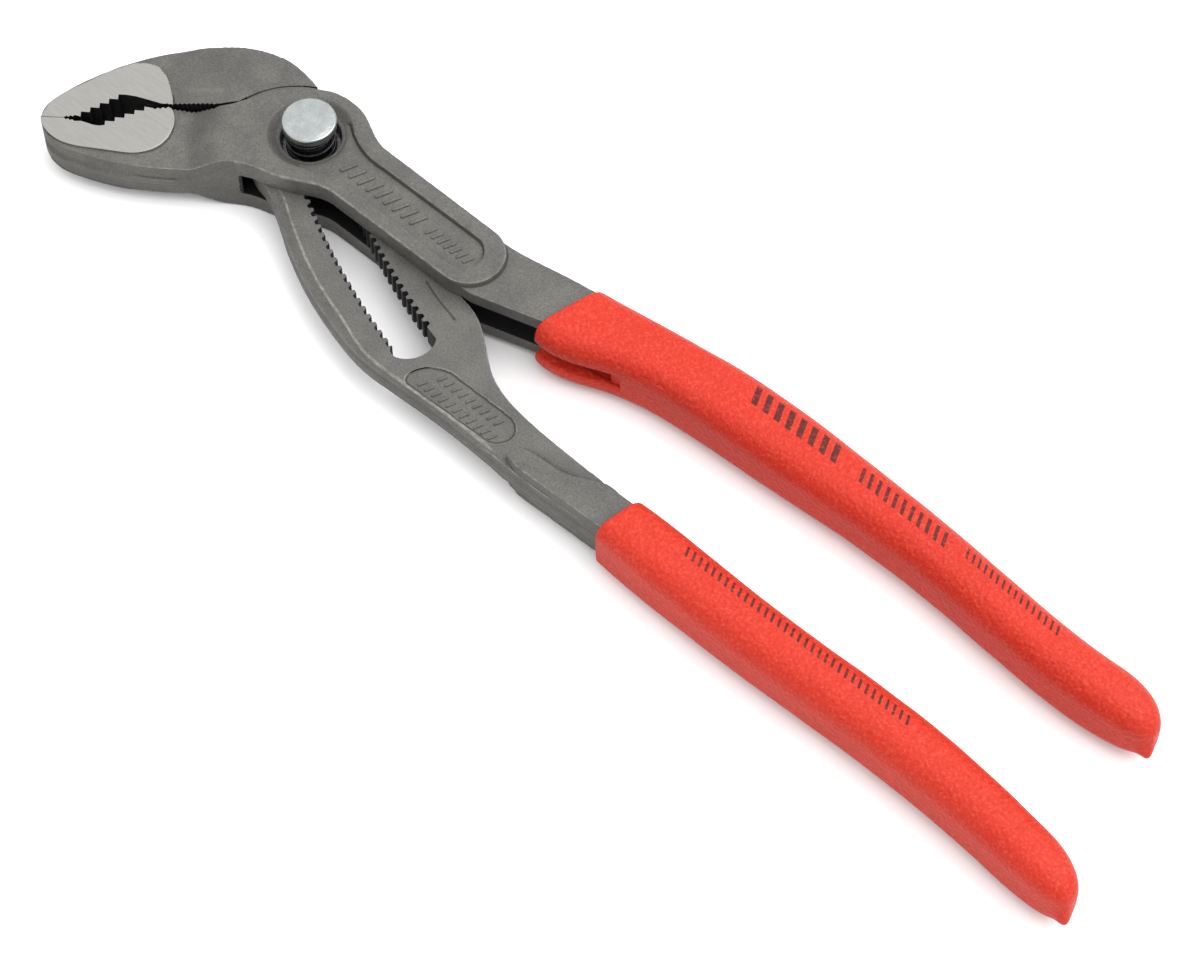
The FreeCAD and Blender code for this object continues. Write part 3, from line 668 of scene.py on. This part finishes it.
curve = bpy.data.curves.new("wire", "CURVE")
curve.dimensions = "3D"
path = list(coil_points())
line = curve.splines.new("POLY")
line.points.add(len(path) - 1)
for point, place in zip(line.points, path):
    point.co = (*place, 1)
curve.bevel_depth = WIRE_RADIUS * MM
curve.bevel_resolution = 4
curve.use_fill_caps = True
holder = bpy.data.objects.new("wire", curve)
wire_mesh = bpy.data.meshes.new_from_object(holder)
bpy.data.objects.remove(holder)
wire_mesh.shade_smooth()
wire_mesh.materials.append(machined_steel("spring_wire", rgb(34, 34, 35), rgb(58, 58, 60),
                                          0.24))
spring = new_piece("button_spring_coil", wire_mesh, "pivot", "spring_steel", "button_spring")
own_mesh(spring)


# ------------------------------------------------------------------ dipped grips
# Each handle is dipped twice in hot red plastic, which gels to a thick coat with a
# fine orange-peel skin and runs to a small drip at the low end. The plain dark
# bars are pad printed on the coat.
def dipped_plastic(name, rows):
    """Red skin with a fine peel; rows are the printed bars, along a sloped line:
    first and last x, y at the first, slope, half height, pitch and share printed."""
    made, shader, start = new_material(name, Specular_IOR_Level=0.2)
    place = millimetres(start)
    x, y, z = [start.node("SeparateXYZ", out=k, Vector=place) for k in range(3)]
    peel = start.node("TexVoronoi", {"feature": "SMOOTH_F1"}, Vector=place, Scale=1.25)
    fine = grains(place, 1.9, 3.0, 0.6)
    cloud = grains(place, 0.05, 3.0)
    base = start.mix(cloud, rgb(164, 34, 18), rgb(176, 40, 22))
    base = start.mix(fine.above(0.48, 0.7) * 0.5, base, rgb(194, 72, 50))
    base = start.mix((1.0 - fine).above(0.55, 0.72) * 0.4, base, rgb(136, 20, 11))
    printed = None
    for first, last, height, slope, half, pitch, share in rows:
        middle = height + slope * (x - first)
        lean = (x + 0.35 * (y - middle) - first) * (1 / pitch)
        count = round((last - first) / pitch)
        bar = 1.0 - lean.math("FRACT", lean).above(share - 0.03, share + 0.03)
        band = 1.0 - (y - middle).math("ABSOLUTE", y - middle).above(half - 0.1, half + 0.1)
        reach = lean.above(-0.02, 0.0) * (1.0 - lean.above(count - 0.02, count))
        mark = bar * band * reach * z.above(10.0, 10.5)
        printed = mark if printed is None else printed.math("MAXIMUM", printed, mark)
    worn = 0.9 - 0.35 * fine.above(0.5, 0.7)
    base = start.mix(printed * worn, base, rgb(48, 18, 16))
    bump = start.node("Bump", Strength=0.75, Distance=0.00026, Height=peel + 0.8 * fine)
    feed(shader, Base_Color=base, Roughness=0.42 + 0.14 * fine, Normal=bump)
    return made


COAT, WAVE, WAVE_PITCH = 0.06, 0.12, 0.11     # added coat, its unevenness, waves per mm
DRIP, DRIP_REACH = (0.9, -1.2, -0.8), 3.2     # pull of the drip, and its reach squared


def dipped_grip(name, node, body, tip, material):
    """A grip with gelled round edges, a slight waviness and a drip at its tip."""
    piece = new_piece(name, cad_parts[node].data.copy(), body, "dipped_plastic", node)
    even_mesh(piece, 9)
    mesh = piece.data
    points = get_points(mesh)
    points = relax(mesh, points, 10, np.full(len(points), 0.9))
    set_points(mesh, points)
    normals = get_points(mesh, "normal")
    waves = np.array([noise.noise(Vector(p) * WAVE_PITCH) for p in points])
    points += normals * (COAT + WAVE * waves)[:, None]
    reach = np.exp(-((points - tip) ** 2).sum(1) / DRIP_REACH)
    points += reach[:, None] * DRIP
    set_points(mesh, points)
    mesh.shade_smooth()
    mesh.materials.append(material)


outer_plastic = dipped_plastic("outer_plastic", [(101, 122, 4.0, -0.06, 1.9, 2.6, 0.5),
                                                 (126, 146, 2.0, -0.1, 1.5, 1.9, 0.4),
                                                 (150, 172, 0.2, -0.15, 1.0, 1.4, 0.35)])
dipped_grip("outer_grip_coat", "outer_grip", "outer_half", (194.6, -8.6, 6.0), outer_plastic)
dipped_grip("inner_grip_coat", "inner_grip", "inner_half", (200.6, -43.2, 6.0),
            dipped_plastic("inner_plastic", [(111, 162, -29.6, -0.07, 1.0, 1.5, 0.36)]))


# ------------------------------------------------------------------ gap lining
# The plastic also wets the tines' inner faces behind the dipping line and pools in
# the crotch between them, as one thin skin that belongs to the outer grip's coat.
def slab(work, outline, low, high):
    """A closed prism on a plan outline."""
    rings = [[work.verts.new((x * MM, y * MM, z * MM)) for x, y in outline] for z in (low, high)]
    for lower, upper in zip(zip(rings[0], rings[0][1:] + rings[0][:1]),
                            zip(rings[1], rings[1][1:] + rings[1][:1])):
        work.faces.new([*lower, *upper[::-1]])
    work.faces.new(rings[0][::-1])
    work.faces.new(rings[1])


SKIN, SUNK = 0.3, 0.05           # the skin's thickness, and how far it is let into the tine
TINE_FACE = [(62.0, -6.5), (70.0, -5.8), (79.0, -5.0), (79.2, 6.3), (70.0, 5.8), (62.6, 5.2)]
CROTCH = [(75.6, -5.2), (79.2, -4.9), (79.4, 6.3), (76.4, 6.2)]
work = bmesh.new()
for side in (-1, 1):
    slab(work, TINE_FACE, *sorted((MID + side * (GAP + SUNK), MID + side * (GAP - SKIN))))
slab(work, CROTCH, MID - GAP, MID + GAP)
bmesh.ops.recalc_face_normals(work, faces=work.faces)
new_piece("gap_lining", close_mesh(work, "gap_lining", outer_plastic, smooth=False),
          "outer_half", "dipped_plastic")


# ------------------------------------------------------------------ floor, lights, camera
# The tool lies on a matt white table in a bright room, under one large soft box. The
# camera looks down on it from the handles' side through a long lens.
table = new_material("table_white", Roughness=1.0, Specular_IOR_Level=0.0,
                     Base_Color=(0.85, 0.85, 0.85, 1))[0]
work = bmesh.new()
bmesh.ops.create_grid(work, x_segments=1, y_segments=1, size=4.0)
floor = bpy.data.objects.new("table_top", close_mesh(work, "table_top", table, smooth=False))
bpy.context.scene.collection.objects.link(floor)
floor.location.z = -0.15 * MM      # just clear of the cheek that the tool lies on

world = bpy.data.worlds.new("bright_room")
world.use_nodes = True
sky = world.node_tree.nodes["Background"]
sky.inputs["Strength"].default_value = 1.8
start = Wire(world.node_tree)
height = start.node("SeparateXYZ", out=2, Vector=start.node("TexCoord", out=0))
feed(sky, Color=start.mix(height.above(0.0, 0.7), rgb(82, 83, 85), rgb(255, 255, 255)))
bpy.context.scene.world = world

LAMP_PLACE, LAMP_AIM = Vector((0.5, 0.4, 1.0)), Vector((0.06, -0.02, 0.0))
light = bpy.data.lights.new("key_box", "AREA")
light.size, light.energy = 1.3, 15.0
lamp = bpy.data.objects.new("key_box", light)
lamp.location = LAMP_PLACE
lamp.rotation_euler = (LAMP_AIM - LAMP_PLACE).to_track_quat("-Z", "Y").to_euler()
bpy.context.scene.collection.objects.link(lamp)

AZIMUTH, ELEVATION = math.radians(37.7), math.radians(58.6)
CAMERA_PLACE = (0.286446, -0.281301, 0.539679)
camera = bpy.data.objects.new("camera", bpy.data.cameras.new("camera"))
bpy.context.scene.collection.objects.link(camera)
camera.data.sensor_width, camera.data.lens = 36, 104.34
back = Vector((math.sin(AZIMUTH) * math.cos(ELEVATION), -math.cos(AZIMUTH) * math.cos(ELEVATION),
               math.sin(ELEVATION)))
right = Vector((math.cos(AZIMUTH), math.sin(AZIMUTH), 0))
turn = Matrix((right, back.cross(right), back)).transposed()
camera.matrix_world = Matrix.Translation(CAMERA_PLACE) @ turn.to_4x4()
camera.data.clip_start, camera.data.clip_end = 0.01, 20
bpy.context.scene.camera = camera
bpy.context.scene.view_settings.view_transform = "Standard"
